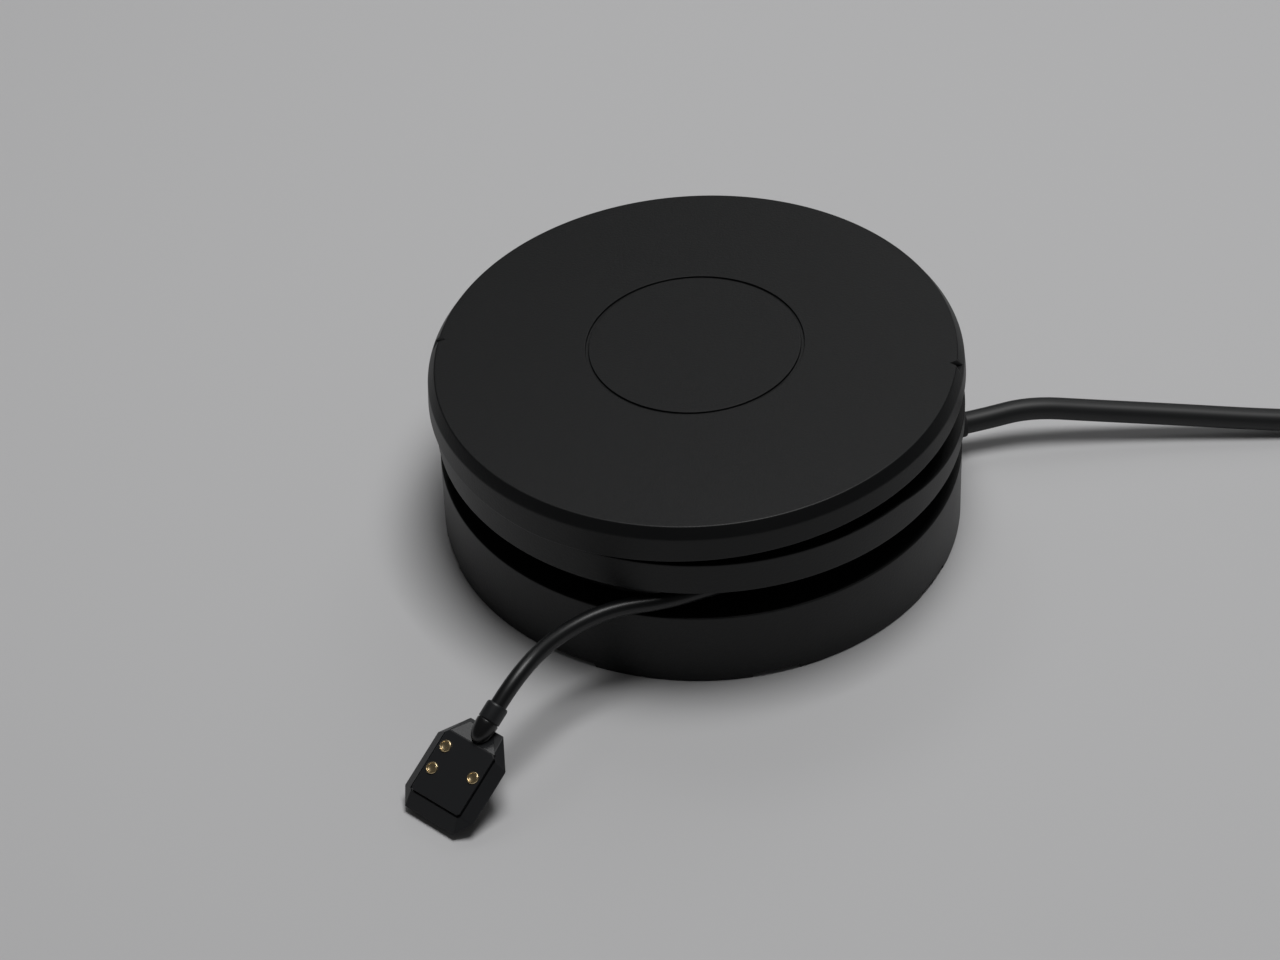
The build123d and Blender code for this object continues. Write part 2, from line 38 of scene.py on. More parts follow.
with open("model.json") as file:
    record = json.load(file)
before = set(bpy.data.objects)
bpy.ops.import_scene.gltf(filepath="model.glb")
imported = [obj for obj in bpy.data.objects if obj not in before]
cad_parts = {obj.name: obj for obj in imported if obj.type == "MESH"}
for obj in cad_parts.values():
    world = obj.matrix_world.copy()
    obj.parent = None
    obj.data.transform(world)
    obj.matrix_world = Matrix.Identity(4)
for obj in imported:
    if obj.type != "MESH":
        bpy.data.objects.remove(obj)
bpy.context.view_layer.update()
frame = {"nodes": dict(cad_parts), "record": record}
MM = 0.001

# Sizes are in mm and angles in degrees. An exit is a radius, an angle and a height.
COLUMN_COUNT = 360
ROUND_COUNT = 48
# A row of points this far from a storey's edge keeps the edge's shading narrow.
EDGE_ROW = 0.7
LEAD_EXIT = (46.4, 180, 23.8)
SUPPLY_EXIT = (58.5, 15.2, 7.2)
PLATE_TOP = 2.4
NOTCH_START, NOTCH_COUNT, NOTCH_WIDE, NOTCH_HIGH = -119.8, 8, 10.5, 0.9
DENTS = (170.5, 352.3)

# Contact head: its own frame, x along the lead and z out of the contact face.
HEAD_ORIGIN = Vector((-51.9, -90.8, 7.6))
HEAD_ALONG = Vector((-0.5444, -0.6442, -0.5373)).normalized()
HEAD_NORMAL = Vector((-0.3468, -0.4104, 0.8434)).normalized()
HEAD_ACROSS = HEAD_NORMAL.cross(HEAD_ALONG).normalized()
HEAD_START, HEAD_END = -11.4, 11.4
FACE_HEIGHT, RAMP_LENGTH = 2.3, 4.6
SLEEVE_START, SLEEVE_ACROSS, SLEEVE_UP = -16.3, 0.75, 2.25

# Plug of the supply cable: where its relief starts, and the two corners of its case.
RELIEF_START = (212.0, -83.4, 5.0)
CASE_LOW, CASE_HIGH = Vector((205.0, -114.4, 0.0)), Vector((219.0, -92.4, 10.0))


# ---- small helpers ---------------------------------------------------------------
def linear(code):
    """Linear RGBA of an sRGB hex colour."""
    channels = [int(code[k:k + 2], 16) / 255 for k in (1, 3, 5)]
    return [c / 12.92 if c <= 0.04045 else ((c + 0.055) / 1.055) ** 2.4 for c in channels] + [1.0]


def polar(radius, degrees, height=0.0):
    """Point at a radius and an angle about the vertical axis."""
    turn = math.radians(degrees)
    return Vector((radius * math.cos(turn), radius * math.sin(turn), height))


def on_head(along, across, up):
    """Place in mm of a point given in the contact head's frame."""
    return HEAD_ORIGIN + HEAD_ALONG * along + HEAD_ACROSS * across + HEAD_NORMAL * up


def axes(along, across, up, place):
    """Matrix whose columns are three axes, moved to a place."""
    matrix = Matrix((along, across, up)).transposed().to_4x4()
    matrix.translation = place
    return matrix


def even_angles(count):
    """Angles in degrees that share out a full turn."""
    return [step * 360 / count for step in range(count)]


def soften(corners, steps=5):
    """Outline with each corner (radius, height, fillet) turned into a small arc."""
    outline = []
    count = len(corners)
    for index, (x, y, fillet) in enumerate(corners):
        here = Vector((x, y))
        if fillet <= 0 or index in (0, count - 1):
            outline.append((x, y))
            continue
        before = Vector(corners[index - 1][:2]) - here
        after = Vector(corners[index + 1][:2]) - here
        start = here + before.normalized() * fillet
        stop = here + after.normalized() * fillet
        for step in range(steps + 1):
            t = step / steps
            spot = start * (1 - t) ** 2 + here * 2 * t * (1 - t) + stop * t * t
            outline.append((spot.x, spot.y))
    return outline


def finished(name, bm, material, smooth_angle=35):
    """Object from a bmesh, its doubles merged, faces outward, edges shaded by angle."""
    bmesh.ops.remove_doubles(bm, verts=bm.verts, dist=1e-7)
    bmesh.ops.recalc_face_normals(bm, faces=bm.faces)
    mesh = bpy.data.meshes.new(name)
    bm.to_mesh(mesh)
    bm.free()
    mesh.polygons.foreach_set("use_smooth", [True] * len(mesh.polygons))
    mesh.set_sharp_from_angle(angle=math.radians(smooth_angle))
    mesh.materials.append(material)
    piece = bpy.data.objects.new(name, mesh)
    bpy.context.scene.collection.objects.link(piece)
    return piece


def turned(outline_at, angles, closed, place=None, aside=None):
    """Bmesh skin from an outline (radius, height) drawn at each angle.

    aside may give a sideways shift for the points of one radius and height.
    """
    bm = bmesh.new()
    columns = []
    for degrees in angles:
        turn = math.radians(degrees)
        column = []
        for radius, height in outline_at(degrees):
            spot = Vector((radius * math.cos(turn), radius * math.sin(turn), height))
            if aside:
                spot += aside(radius, height)
            column.append(bm.verts.new((place @ spot if place else spot) * MM))
        columns.append(column)
    count = len(columns[0])
    for left, right in zip(columns, columns[1:] + columns[:1]):
        for k in range(count if closed else count - 1):
            after = (k + 1) % count
            bm.faces.new((left[k], right[k], right[after], left[after]))
    return bm


def lathed(profile, count, closed=False, place=None):
    """Bmesh skin of one outline turned all the way round."""
    return turned(lambda _: profile, even_angles(count), closed, place)


def layered(rings):
    """Bmesh of equal rings of points on the head, joined one to the next and capped."""
    bm = bmesh.new()
    rings = [[bm.verts.new(on_head(*point) * MM) for point in ring] for ring in rings]
    count = len(rings[0])
    for low, high in zip(rings, rings[1:]):
        for k in range(count):
            after = (k + 1) % count
            bm.faces.new((low[k], low[after], high[after], high[k]))
    bm.faces.new(rings[0])
    bm.faces.new(rings[-1])
    return bm


def dress(piece, body, slot, *nodes):
    """Ride a piece on its body, and hide the solids it stands for."""
    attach(piece, body)
    if nodes:
        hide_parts(*nodes)


def clad(name, bm, body, slot, *nodes):
    """Finished piece in its slot's own material, dressed at once."""
    dress(finished(name, bm, SURFACES[slot]), body, slot, *nodes)


def bake(piece):
    """Turn a piece's live modifiers into its own plain mesh."""
    bpy.context.view_layer.update()
    graph = bpy.context.evaluated_depsgraph_get()
    mesh = bpy.data.meshes.new_from_object(piece.evaluated_get(graph))
    piece.modifiers.clear()
    piece.data = mesh


def cut_away(piece, cutter):
    """Cut one piece's shape out of another and drop the cutter."""
    cut = piece.modifiers.new("cut", "BOOLEAN")
    cut.operation = "DIFFERENCE"
    cut.object = cutter
    bake(piece)
    bpy.data.objects.remove(cutter)


def round_edges(piece, width, segments, least_angle):
    """Round a piece's sharp edges a little, with its flats still shaded flat."""
    bevel = piece.modifiers.new("edges", "BEVEL")
    bevel.width = width * MM
    bevel.segments = segments
    bevel.limit_method = "ANGLE"
    bevel.angle_limit = math.radians(least_angle)
    bevel.harden_normals = True
    piece.data.set_sharp_from_angle(angle=math.pi)
    bake(piece)


def add_node(tree, kind, settings=(), links=()):
    """Add a node, set its sockets, and link other nodes' sockets to it."""
    node = tree.nodes.new(kind)
    for key, value in dict(settings).items():
        node.inputs[key].default_value = value
    for key, source in dict(links).items():
        tree.links.new(source, node.inputs[key])
    return node


def node_group(name, inputs):
    """Geometry node group with the named inputs, and its two end nodes."""
    tree = bpy.data.node_groups.new(name, "GeometryNodeTree")
    for way in ("OUTPUT", "INPUT"):
        tree.interface.new_socket("Geometry", in_out=way, socket_type="NodeSocketGeometry")
    for label, kind in inputs:
        tree.interface.new_socket(label, in_out="INPUT", socket_type="NodeSocket" + kind)
    return tree, tree.nodes.new("NodeGroupInput"), tree.nodes.new("NodeGroupOutput")


def placed_pieces(tree, given, result, points, turn=None):
    """Nodes that put the group's piece on points, realize it and give it its material."""
    item = add_node(tree, "GeometryNodeObjectInfo", links={"Object": given.outputs["Piece"]})
    spread = add_node(tree, "GeometryNodeInstanceOnPoints",
                      links={"Points": points, "Instance": item.outputs["Geometry"],
                             "Rotation": turn or given.outputs["Turn"]})
    real = add_node(tree, "GeometryNodeRealizeInstances",
                    links={"Geometry": spread.outputs["Instances"]})
    dyed = add_node(tree, "GeometryNodeSetMaterial",
                    links={"Geometry": real.outputs["Geometry"],
                           "Material": given.outputs["Material"]})
    tree.links.new(dyed.outputs["Geometry"], result.inputs["Geometry"])
    return tree


def ring_nodes():
    """Node group: equal pieces round the vertical axis, each turned by chance."""
    tree, given, result = node_group("ring_of_pieces", [
        ("Piece", "Object"), ("Count", "Int"), ("Ring radius", "Float"),
        ("Start angle", "Float"), ("Height", "Float"), ("Tilt", "Float"), ("Seed", "Int"),
        ("Material", "Material")])
    circle = add_node(tree, "GeometryNodeMeshCircle",
                      links={"Vertices": given.outputs["Count"],
                             "Radius": given.outputs["Ring radius"]})
    start = add_node(tree, "ShaderNodeCombineXYZ", links={"Z": given.outputs["Start angle"]})
    lift = add_node(tree, "ShaderNodeCombineXYZ", links={"Z": given.outputs["Height"]})
    moved = add_node(tree, "GeometryNodeTransform",
                     links={"Geometry": circle.outputs["Mesh"],
                            "Rotation": start.outputs["Vector"],
                            "Translation": lift.outputs["Vector"]})
    # This node's vector, number and integer sockets share their names, so they go by place.
    number_max, number_out = 3, 1
    chance = add_node(tree, "FunctionNodeRandomValue", {number_max: 2 * math.pi},
                      {"Seed": given.outputs["Seed"]})
    turn = add_node(tree, "ShaderNodeCombineXYZ",
                    links={"X": given.outputs["Tilt"], "Z": chance.outputs[number_out]})
    return placed_pieces(tree, given, result, moved.outputs["Geometry"],
                         turn.outputs["Vector"])


def spot_nodes():
    """Node group: one equal piece on every vertex of the mesh, all turned alike."""
    tree, given, result = node_group("pieces_on_spots", [
        ("Piece", "Object"), ("Turn", "Rotation"), ("Material", "Material")])
    return placed_pieces(tree, given, result, given.outputs["Geometry"])


def row_nodes():
    """Node group: equal pieces along a straight line."""
    tree, given, result = node_group("row_of_pieces", [
        ("Piece", "Object"), ("Count", "Int"), ("Start", "Vector"), ("Step", "Vector"),
        ("Turn", "Rotation"), ("Material", "Material")])
    line = add_node(tree, "GeometryNodeMeshLine",
                    links={"Count": given.outputs["Count"],
                           "Start Location": given.outputs["Start"],
                           "Offset": given.outputs["Step"]})
    return placed_pieces(tree, given, result, line.outputs["Mesh"])


def grown(name, tree, values, mesh=None):
    """Plain object made by a node group whose inputs are set by their names."""
    piece = bpy.data.objects.new(name, mesh or bpy.data.meshes.new(name))
    bpy.context.scene.collection.objects.link(piece)
    live = piece.modifiers.new("nodes", "NODES")
    live.node_group = tree
    for socket in tree.interface.items_tree:
        if socket.in_out == "INPUT" and socket.name in values:
            live[socket.identifier] = values[socket.name]
    piece.update_tag()
    bake(piece)
    bpy.data.objects.remove(values["Piece"])
    return piece


def ring_of_four(name, piece, slot, radius, start, height, seed, tilt=0.0):
    """Four equal pieces round the axis, from a start angle in degrees."""
    return grown(name, ring_nodes(), {
        "Piece": piece, "Count": 4, "Ring radius": radius * MM,
        "Start angle": math.radians(start), "Height": height * MM, "Tilt": tilt,
        "Seed": seed, "Material": SURFACES[slot]})


# ---- materials -------------------------------------------------------------------
def surface(name, colour, roughness, metallic=0.0, ior=None, grain_mm=0.0,
            grain_depth_mm=0.0, grain_strength=0.0, patch_mm=0.0, patch=0.0):
    """Principled material with an optional fine grain and a broad change of sheen."""
    material = bpy.data.materials.new(name)
    material.use_nodes = True
    tree = material.node_tree
    shader = tree.nodes["Principled BSDF"]
    shader.inputs["Base Color"].default_value = linear(colour)
    shader.inputs["Roughness"].default_value = roughness
    shader.inputs["Metallic"].default_value = metallic
    if ior:
        shader.inputs["IOR"].default_value = ior
    place = add_node(tree, "ShaderNodeTexCoord")
    if grain_mm:
        grain = add_node(tree, "ShaderNodeTexNoise",
                         {"Scale": 1 / (grain_mm * MM), "Detail": 3.0, "Roughness": 0.6},
                         {"Vector": place.outputs["Object"]})
        bump = add_node(tree, "ShaderNodeBump",
                        {"Strength": grain_strength, "Distance": grain_depth_mm * MM},
                        {"Height": grain.outputs["Fac"]})
        tree.links.new(bump.outputs["Normal"], shader.inputs["Normal"])
    if patch_mm:
        cloud = add_node(tree, "ShaderNodeTexNoise",
                         {"Scale": 1 / (patch_mm * MM), "Detail": 4.0},
                         {"Vector": place.outputs["Object"]})
        spread = add_node(tree, "ShaderNodeMapRange",
                          {"From Min": 0.3, "From Max": 0.7,
                           "To Min": roughness - patch, "To Max": roughness + patch},
                          {"Value": cloud.outputs["Fac"]})
        tree.links.new(spread.outputs["Result"], shader.inputs["Roughness"])
    return material


def make_materials():
    """Every surface of the puck, by the record's slot name."""
    return {
        # Moulded ABS with a fine spark-eroded grain: a dull black that greys at glancing
        # light. The grain is drawn at 0.6 mm, about three times its size, so that it shows.
        "shell_plastic": surface("moulded_abs", "#0d0e0f", 0.44, ior=1.36, grain_mm=0.6,
                                 grain_depth_mm=0.06, grain_strength=0.7,
                                 patch_mm=14, patch=0.015),
        # Extruded TPE jacket: satin black with a soft lengthwise highlight.
        "lead_jacket": surface("extruded_tpe", "#131415", 0.36, ior=1.44, grain_mm=0.8,
                               grain_depth_mm=0.02, grain_strength=0.25),
        # Extruded PVC of the thicker cable: duller than the thin lead.
        "supply_jacket": surface("extruded_pvc", "#1b1c1d", 0.5, ior=1.46, grain_mm=0.8,
                                 grain_depth_mm=0.02, grain_strength=0.25),
        # Moulded glass-filled nylon: matte and slightly greyer than the shell.
        "head_plastic": surface("moulded_nylon", "#202123", 0.42, ior=1.42, grain_mm=0.3,
                                grain_depth_mm=0.02, grain_strength=0.3),
        # The same nylon where its tool was polished: it mirrors a lamp with a soft edge.
        "polished_nylon": surface("polished_nylon", "#202123", 0.22, ior=1.52),
        # Soft PVC overmould, polished by its tool: a black with a soft shine.
        "nose_plastic": surface("polished_pvc", "#141415", 0.3, ior=1.5),
        # Gold plated brass: warm mirror with a soft edge.
        "gold_contact": surface("gold_plate", "#f4dcae", 0.24, metallic=1.0),
        # Nitrile rubber: dull, nearly black.
        "pad_rubber": surface("nitrile_rubber", "#161617", 0.75, ior=1.5, grain_mm=0.5,
                              grain_depth_mm=0.03, grain_strength=0.4),
        # Zinc plated steel: cool grey with brushed dullness.
        "screw_steel": surface("zinc_steel", "#a9abae", 0.35, metallic=1.0),
        # Mill-finish steel plate.
        "ballast_steel": surface("mill_steel", "#7d7f82", 0.5, metallic=1.0, patch_mm=8,
                                 patch=0.1),
        # Turned brass.
        "spacer_brass": surface("turned_brass", "#c9a45c", 0.3, metallic=1.0),
        # Green solder mask on laminate.
        "board_laminate": surface("solder_mask", "#134a2c", 0.35, ior=1.5),
        # Sintered ferrite with varnish.
        "ferrite": surface("varnished_ferrite", "#2b2a2a", 0.4, ior=1.6),
        # Drawn aluminium can.
        "can_aluminium": surface("drawn_aluminium", "#b9bbbe", 0.3, metallic=1.0),
        # Epoxy moulding compound.
        "chip_epoxy": surface("epoxy_compound", "#1b1b1c", 0.6, ior=1.5),
        # Natural nylon of the terminal blocks.
        "terminal_nylon": surface("natural_nylon", "#d9d5ca", 0.45, ior=1.52),
        # Nickel plate on the magnets.
        "magnet_nickel": surface("nickel_plate", "#b8b4ab", 0.18, metallic=1.0),
        # Tin plated steel of the plug's shell.
        "plug_steel": surface("tin_plate", "#b4b6b9", 0.28, metallic=1.0),
    }


SURFACES = make_materials()
SLOT_OF = {row["node"]: row["material_slot"] for row in frame["record"]["subparts"]}


# ---- settings --------------------------------------------------------------------
def length(name, description, millimetres):
    """Length property with a default given in millimetres."""
    return bpy.props.FloatProperty(name=name, description=description,
                                   default=millimetres * MM, min=0.0, unit="LENGTH")


class PuckShellSettings(bpy.types.PropertyGroup):
    """Sizes of the three storeys."""

    base_radius: length("Base radius", "Radius of the lowest storey", 57.5)
    base_height: length("Base height", "Height of the lowest storey", 18.4)
    hub_radius: length("Hub radius", "Radius of the hub inside the groove", 46.4)
    tray_bottom: length("Tray bottom", "Height of the tray's underside", 25.9)
    tray_radius: length("Tray radius", "Radius of the tray's ring", 57.9)
    ring_top: length("Ring top", "Height of the tray's ring", 34.0)
    scallop_depth: length("Scallop depth", "Depth of the finger scallop", 3.5)
    scallop_radius: length("Scallop radius", "Radius of the finger scallop", 185.0)
    lid_height: length("Lid height", "Height of the lid's top at the axis", 43.2)
    edge: length("Edge", "Fillet of the moulded edges", 0.35)


class PuckLeadSettings(bpy.types.PropertyGroup):
    """Sizes of the two cords."""

    lead_diameter: length("Lead diameter", "Thin lead's jacket", 3.6)
    lead_length: length("Lead length", "Thin lead from the hub to its sleeve", 911.0)
    supply_diameter: length("Supply diameter", "Supply cable's jacket", 5.0)
    supply_length: length("Supply length", "Supply cable from the base to its plug", 1457.0)


class PuckStageSettings(bpy.types.PropertyGroup):
    """Camera, lamps and floor."""

    lens: bpy.props.FloatProperty(name="Lens", description="Focal length in millimetres",
                                  default=120.85, min=1.0)
    key_power: bpy.props.FloatProperty(name="Key power", description="Overhead lamp",
                                       default=8.3, min=0.0, unit="POWER")
    back_power: bpy.props.FloatProperty(name="Back power", description="Lamp behind",
                                        default=1.9, min=0.0, unit="POWER")
    glint_power: bpy.props.FloatProperty(name="Glint power",
                                         description="Small lamp the head's ramp mirrors",
                                         default=0.55, min=0.0, unit="POWER")
    sky: bpy.props.FloatProperty(name="Sky", description="Strength of the plain surround",
                                 default=0.05, min=0.0)
    floor: bpy.props.FloatVectorProperty(name="Floor", description="Floor colour",
                                         subtype="COLOR", size=4, min=0.0, max=1.0,
                                         default=linear("#cfcfd0"))


# ---- stage -----------------------------------------------------------------------
class PUCK_OT_stage(bpy.types.Operator):
    """Make the camera, the lamps, the surround and the floor"""

    bl_idname = "puck.stage"
    bl_label = "Stage"

    def execute(self, context):
        """Build the stage."""
        settings = context.scene.puck_stage
        camera_data = bpy.data.cameras.new("camera")
        camera_data.lens = settings.lens
        camera_data.clip_end = 20
        camera = bpy.data.objects.new("camera", camera_data)
        context.scene.collection.objects.link(camera)
        # The stage's places are in metres, and the camera's turns in radians.
        eye = (0, -0.7144, 0.6422)
        down, turn, roll = 0.7268, -0.0193, -0.0377
        forward = Vector((math.sin(turn) * math.cos(down), math.cos(turn) * math.cos(down),
                          -math.sin(down)))
        flat = Vector((math.cos(turn), -math.sin(turn), 0))
        rise = flat.cross(forward)
        right = flat * math.cos(roll) + rise * math.sin(roll)
        upward = rise * math.cos(roll) - flat * math.sin(roll)
        facing = Matrix((right, upward, -forward)).transposed()
        camera.matrix_world = Matrix.Translation(eye) @ facing.to_4x4()
        context.scene.camera = camera
        self.lamp(context, "overhead_lamp", (0.11, 0.06, 1.2), 0.5, settings.key_power)
        self.lamp(context, "back_lamp", (0.4, 1.2, 1.0), 0.8, settings.back_power)
        self.lamp(context, "glint_lamp", (-0.22, 0.66, 0.97), 0.3, settings.glint_power)
        world = bpy.data.worlds.new("surround")
        world.use_nodes = True
        surround = world.node_tree.nodes["Background"]
        surround.inputs["Color"].default_value = (1, 1, 1, 1)
        surround.inputs["Strength"].default_value = settings.sky
        context.scene.world = world
        context.scene.view_settings.view_transform = "Standard"
        floor_material = bpy.data.materials.new("matte_paper")
        floor_material.use_nodes = True
        paper = floor_material.node_tree.nodes["Principled BSDF"]
        paper.inputs["Base Color"].default_value = settings.floor
        paper.inputs["Roughness"].default_value = 0.9
        paper.inputs["Specular IOR Level"].default_value = 0.1
        bm = bmesh.new()
        bmesh.ops.create_grid(bm, x_segments=1, y_segments=1, size=6.0)
        floor = finished("floor", bm, floor_material)
        # A hair under the pads, so that no two faces lie in one plane.
        floor.location.z = -0.02 * MM
        return {"FINISHED"}

    @staticmethod
    def lamp(context, name, place, size, power):
        """Square area lamp aimed at the puck."""
        data = bpy.data.lights.new(name, "AREA")
        data.energy = power
        data.size = size
        lamp = bpy.data.objects.new(name, data)
        context.scene.collection.objects.link(lamp)
        lamp.location = place
        middle = Vector((0, 0, 0.02))
        aim = middle - Vector(place)
        lamp.rotation_euler = aim.to_track_quat("-Z", "Y").to_euler()


# ---- cords -----------------------------------------------------------------------
def wound(centre, cells, start, window, step=15.0):
    """Control points of a cord wound clockwise through cells (radius, height, sweep).

    window is the angle over which it passes from one cell to the next.
    """
    # The spline cuts its control points' corners by this share, so they stand further out.
    shrink = 0.75 + 0.25 * math.cos(math.radians(step))
    total = sum(cell[2] for cell in cells)
    points = []
    for index in range(1, round(total / step)):
        gone = index * step
        before, spot = 0.0, Vector(cells[0][:2])
        for cell, following in zip(cells, cells[1:]):
            before += cell[2]
            share = min(1.0, max(0.0, (gone - before) / window + 0.5))
            share = share * share * (3 - 2 * share)
            spot += (Vector(following[:2]) - Vector(cell[:2])) * share
        points.append(Vector(centre).to_3d() + polar(spot.x / shrink, start - gone, spot.y))
    return points


def cord(name, points, diameter, material):
    """Round cord along control points, as one open curve."""
    data = bpy.data.curves.new(name, "CURVE")
    data.dimensions = "3D"
    data.resolution_u = 6
    data.bevel_depth = diameter / 2
    data.bevel_resolution = 6
    data.use_fill_caps = True
    spline = data.splines.new("NURBS")
    spline.points.add(len(points) - 1)
    for control, point in zip(spline.points, points):
        control.co = (*(point * MM), 1.0)
    spline.order_u = 3
    spline.use_endpoint_u = True
    data.materials.append(material)
    piece = bpy.data.objects.new(name, data)
    bpy.context.scene.collection.objects.link(piece)
    return piece


class PUCK_OT_cords(bpy.types.Operator):
    """Make the thin lead with its turns in the groove, and the supply cable with its coil"""

    bl_idname = "puck.cords"
    bl_label = "Cords"

    def execute(self, context):
        """Build both cords, each in place of its solids."""
        sizes = context.scene.puck_leads
        lead = cord("lead", self.lead_points(), sizes.lead_diameter, SURFACES["lead_jacket"])
        dress(lead, "base", "lead_jacket", "lead_tube", "lead_winding")
        supply = cord("supply", self.supply_points(), sizes.supply_diameter,
                      SURFACES["supply_jacket"])
        dress(supply, "base", "lead_jacket", "supply_cable", "supply_coil", "supply_tail")
        return {"FINISHED"}

    @staticmethod
    def lead_points():
        """Out of the hub, round the groove in two layers, and away to the contact head."""
        _, start, high = LEAD_EXIT
        low, inner, outer = 20.25, 48.2, 51.85
        leaving = polar(outer, -75, high)
        turns = [(inner, high, 326.25), (inner, low, 300.0), (50.6, low, 62.0),
                 (outer, high, 282.0)]
        return [
            polar(*LEAD_EXIT), polar(48.3, start - 3, high),
            *wound((0, 0), turns, start, 30.0, 7.5),
            leaving, leaving + polar(10, -165), Vector((-8.0, -55.9, 22.3)),
            Vector((-20.0, -57.5, 22.1)), Vector((-31.0, -64.9, 21.9)),
            on_head(SLEEVE_START - 8, SLEEVE_ACROSS, SLEEVE_UP),
            on_head(SLEEVE_START, SLEEVE_ACROSS, SLEEVE_UP),
        ]

    @staticmethod
    def supply_points():
        """Out of the base, along the table, round the coil, and down into the plug."""
        radius, angle, height = SUPPLY_EXIT
        coil_x, coil_y = 182.0, -11.4
        outer, inner, top = 30.0, 25.0, 17.5
        cells = [(outer, 2.5), (inner, 2.5), (inner, 7.5), (outer, 7.5),
                 (outer, 12.5), (inner, 12.5), (inner, top), (outer, top)]
        sweep = 7.25 * 360 / len(cells)
        tail_x = coil_x + outer
        return [
            polar(*SUPPLY_EXIT), polar(radius + 7, angle, height),
            Vector((74.1, 19.2, 8.9)), Vector((87.9, 19.6, 7.1)),
            Vector((107.2, 19.5, 5.3)), Vector((129.3, 18.8, 3.5)),
            Vector((151.3, 18.6, 2.5)), Vector((176.0, 18.6, 2.5)),
            *wound((coil_x, coil_y), [(*cell, sweep) for cell in cells], 90, 33.75),
            Vector((tail_x, coil_y - 4, top)), Vector((tail_x, coil_y - 26, top)),
            Vector((tail_x + 1, coil_y - 42, 10.5)), Vector((tail_x, coil_y - 58, 5.0)),
            Vector((tail_x, coil_y - 72, 5.0)),
        ]


class PUCK_OT_limp(bpy.types.Operator):
    bl_idname = "puck.limp"
    bl_label = "Limp cords"

    def execute(self, context):
        """Finish at once, doing nothing."""
        return {"FINISHED"}


# ---- storeys ---------------------------------------------------------------------
class PUCK_OT_base(bpy.types.Operator):
    """Make the lowest storey with its rim notches, groove deck and hub"""

    bl_idname = "puck.base"
    bl_label = "Base"

    def execute(self, context):
        """Build the base shell."""
        sizes = context.scene.puck_shell
        outer, hub = sizes.base_radius / MM, sizes.hub_radius / MM
        top, hub_top, edge = sizes.base_height / MM, sizes.tray_bottom / MM, sizes.edge / MM
        wall = 2.4
        pitch = 360 / NOTCH_COUNT
        # A notch's end wall rises between two columns, this far either side of it.
        lip = 0.12

        def outline(degrees):
            away = (degrees - NOTCH_START + pitch / 2) % pitch - pitch / 2
            bottom = NOTCH_HIGH if abs(away) < NOTCH_WIDE / 2 else 0.0
            return soften([
                (outer - wall, bottom, 0), (outer, bottom, edge), (outer, 1.5, 0),
                (outer, top - EDGE_ROW, 0), (outer, top, edge), (outer - EDGE_ROW, top, 0),
                (hub, top, edge), (hub, hub_top, 0), (hub - wall, hub_top, 0),
                (hub - wall, top - wall, 0), (outer - wall, top - wall, 0),
            ])

        angles = even_angles(COLUMN_COUNT)
        for notch in range(NOTCH_COUNT):
            for side in (-1, 1):
                edge_angle = NOTCH_START + notch * pitch + side * NOTCH_WIDE / 2
                angles += [(edge_angle - lip) % 360, (edge_angle + lip) % 360]
        clad("base_storey", turned(outline, sorted(angles), True), "base", "shell_plastic",
             "base_shell")
        self.grommet(outer)
        return {"FINISHED"}

    @staticmethod
    def grommet(wall_radius):
        """Rubber grommet round the supply cable where it leaves the wall."""
        _, angle, height = SUPPLY_EXIT
        outward, upward = polar(1, angle), Vector((0, 0, 1))
        place = axes(upward, outward.cross(upward), outward, polar(wall_radius, angle, height))
        profile = soften([
            (2.55, -2.4, 0), (3.2, -2.4, 0), (3.2, -0.15, 0), (3.75, -0.15, 0),
            (3.7, 0.6, 0.3), (3.35, 0.8, 0.15), (3.3, 1.3, 0.1), (3.38, 1.5, 0.1),
            (3.25, 2.2, 0.15), (3.1, 2.35, 0.1), (3.14, 2.6, 0.1), (3.0, 4.0, 0.25),
            (2.5, 4.0, 0),
        ])
        clad("exit_grommet", lathed(profile, 64, True, place), "base", "pad_rubber",
             "supply_grommet")


def scallop_at(sizes, radius, degrees):
    """Depth of the finger scallop at a place on the ring's top."""
    scallop_angle = -5.0
    turn = math.radians(degrees - scallop_angle)
    if math.cos(turn) <= 0:
        return 0.0
    bend, deep = sizes.scallop_radius / MM, sizes.scallop_depth / MM
    across = radius * math.sin(turn)
    return max(0.0, deep - (bend - math.sqrt(bend * bend - across * across)))


